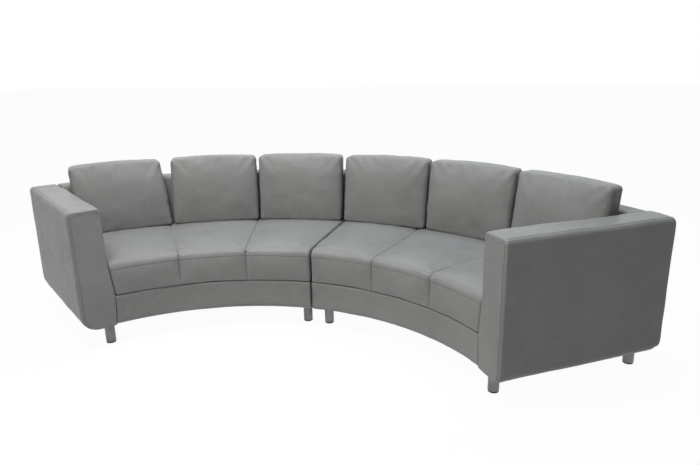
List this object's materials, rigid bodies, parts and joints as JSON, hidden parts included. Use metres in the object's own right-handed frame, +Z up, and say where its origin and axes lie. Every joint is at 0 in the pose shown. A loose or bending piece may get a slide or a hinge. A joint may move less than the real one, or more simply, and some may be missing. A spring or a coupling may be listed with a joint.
{
  "type": "curved sofa",
  "caption": "Curved upholstered sofa in two mirrored sections with loose seat and back cushions, square arms and short round metal legs.",
  "frame": {"origin": "on the floor at the middle of the sofa's width and depth", "axes": "+X to the right along the width, +Y from the front towards the middle of the back, +Z up"},
  "size_m": [3.237, 1.337, 0.8141],
  "materials": {
    "leather": "satin",
    "wood": "matte",
    "spring_steel": "satin",
    "zinc_steel": "satin",
    "satin_steel": "satin",
    "felt": "matte",
    "webbing": "matte",
    "dust_cloth": "matte",
    "foam": "matte",
    "glide_plastic": "matte"
  },
  "bodies": {
    "left_section": {"left_front_rail": "wood", "left_rear_seat_rail": "wood", "left_back_rail": "wood", "left_back_top_rail": "wood", "left_cross_ribs": "wood", "left_back_posts": "wood", "left_bearer_blocks": "wood", "left_arm_frame": "wood", "left_seat_springs": "spring_steel", "left_spring_clips": "spring_steel", "left_deck_pad": "felt", "left_back_webbing": "webbing", "left_dust_cover": "dust_cloth", "left_front_cover": "leather", "left_back_cover": "leather", "left_arm_cover": "leather", "left_arm_front_panel": "leather", "left_seam_panel": "leather", "left_legs": "satin_steel", "left_leg_glides": "glide_plastic", "left_frame_fixings": "zinc_steel", "left_connector_tongues": "zinc_steel"},
    "left_seat": {"left_seat_cover": "leather", "left_seat_foam": "foam"},
    "left_back_1": {"left_back_cushion_1": "leather", "left_back_foam_1": "foam"},
    "left_back_2": {"left_back_cushion_2": "leather", "left_back_foam_2": "foam"},
    "left_back_3": {"left_back_cushion_3": "leather", "left_back_foam_3": "foam"},
    "right_section": {"right_front_rail": "wood", "right_rear_seat_rail": "wood", "right_back_rail": "wood", "right_back_top_rail": "wood", "right_cross_ribs": "wood", "right_back_posts": "wood", "right_bearer_blocks": "wood", "right_arm_frame": "wood", "right_seat_springs": "spring_steel", "right_spring_clips": "spring_steel", "right_deck_pad": "felt", "right_back_webbing": "webbing", "right_dust_cover": "dust_cloth", "right_front_cover": "leather", "right_back_cover": "leather", "right_arm_cover": "leather", "right_arm_front_panel": "leather", "right_seam_panel": "leather", "right_legs": "satin_steel", "right_leg_glides": "glide_plastic", "right_frame_fixings": "zinc_steel", "right_connector_sleeves": "zinc_steel"},
    "right_seat": {"right_seat_cover": "leather", "right_seat_foam": "foam"},
    "right_back_1": {"right_back_cushion_1": "leather", "right_back_foam_1": "foam"},
    "right_back_2": {"right_back_cushion_2": "leather", "right_back_foam_2": "foam"},
    "right_back_3": {"right_back_cushion_3": "leather", "right_back_foam_3": "foam"}
  },
  "joints": [
    {"name": "section_slide", "type": "slide", "parent": "left_section", "child": "right_section", "axis": [1, 0, 0], "range_m": [0, 0.3]},
    {"name": "left_seat_lift", "type": "slide", "parent": "left_section", "child": "left_seat", "axis": [0, 0, 1], "range_m": [0, 0.25]},
    {"name": "left_back_1_lift", "type": "slide", "parent": "left_seat", "child": "left_back_1", "axis": [0, 0, 1], "range_m": [0, 0.45]},
    {"name": "left_back_2_lift", "type": "slide", "parent": "left_seat", "child": "left_back_2", "axis": [0, 0, 1], "range_m": [0, 0.45]},
    {"name": "left_back_3_lift", "type": "slide", "parent": "left_seat", "child": "left_back_3", "axis": [0, 0, 1], "range_m": [0, 0.45]},
    {"name": "right_seat_lift", "type": "slide", "parent": "right_section", "child": "right_seat", "axis": [0, 0, 1], "range_m": [0, 0.25]},
    {"name": "right_back_1_lift", "type": "slide", "parent": "right_seat", "child": "right_back_1", "axis": [0, 0, 1], "range_m": [0, 0.45]},
    {"name": "right_back_2_lift", "type": "slide", "parent": "right_seat", "child": "right_back_2", "axis": [0, 0, 1], "range_m": [0, 0.45]},
    {"name": "right_back_3_lift", "type": "slide", "parent": "right_seat", "child": "right_back_3", "axis": [0, 0, 1], "range_m": [0, 0.45]}
  ]
}
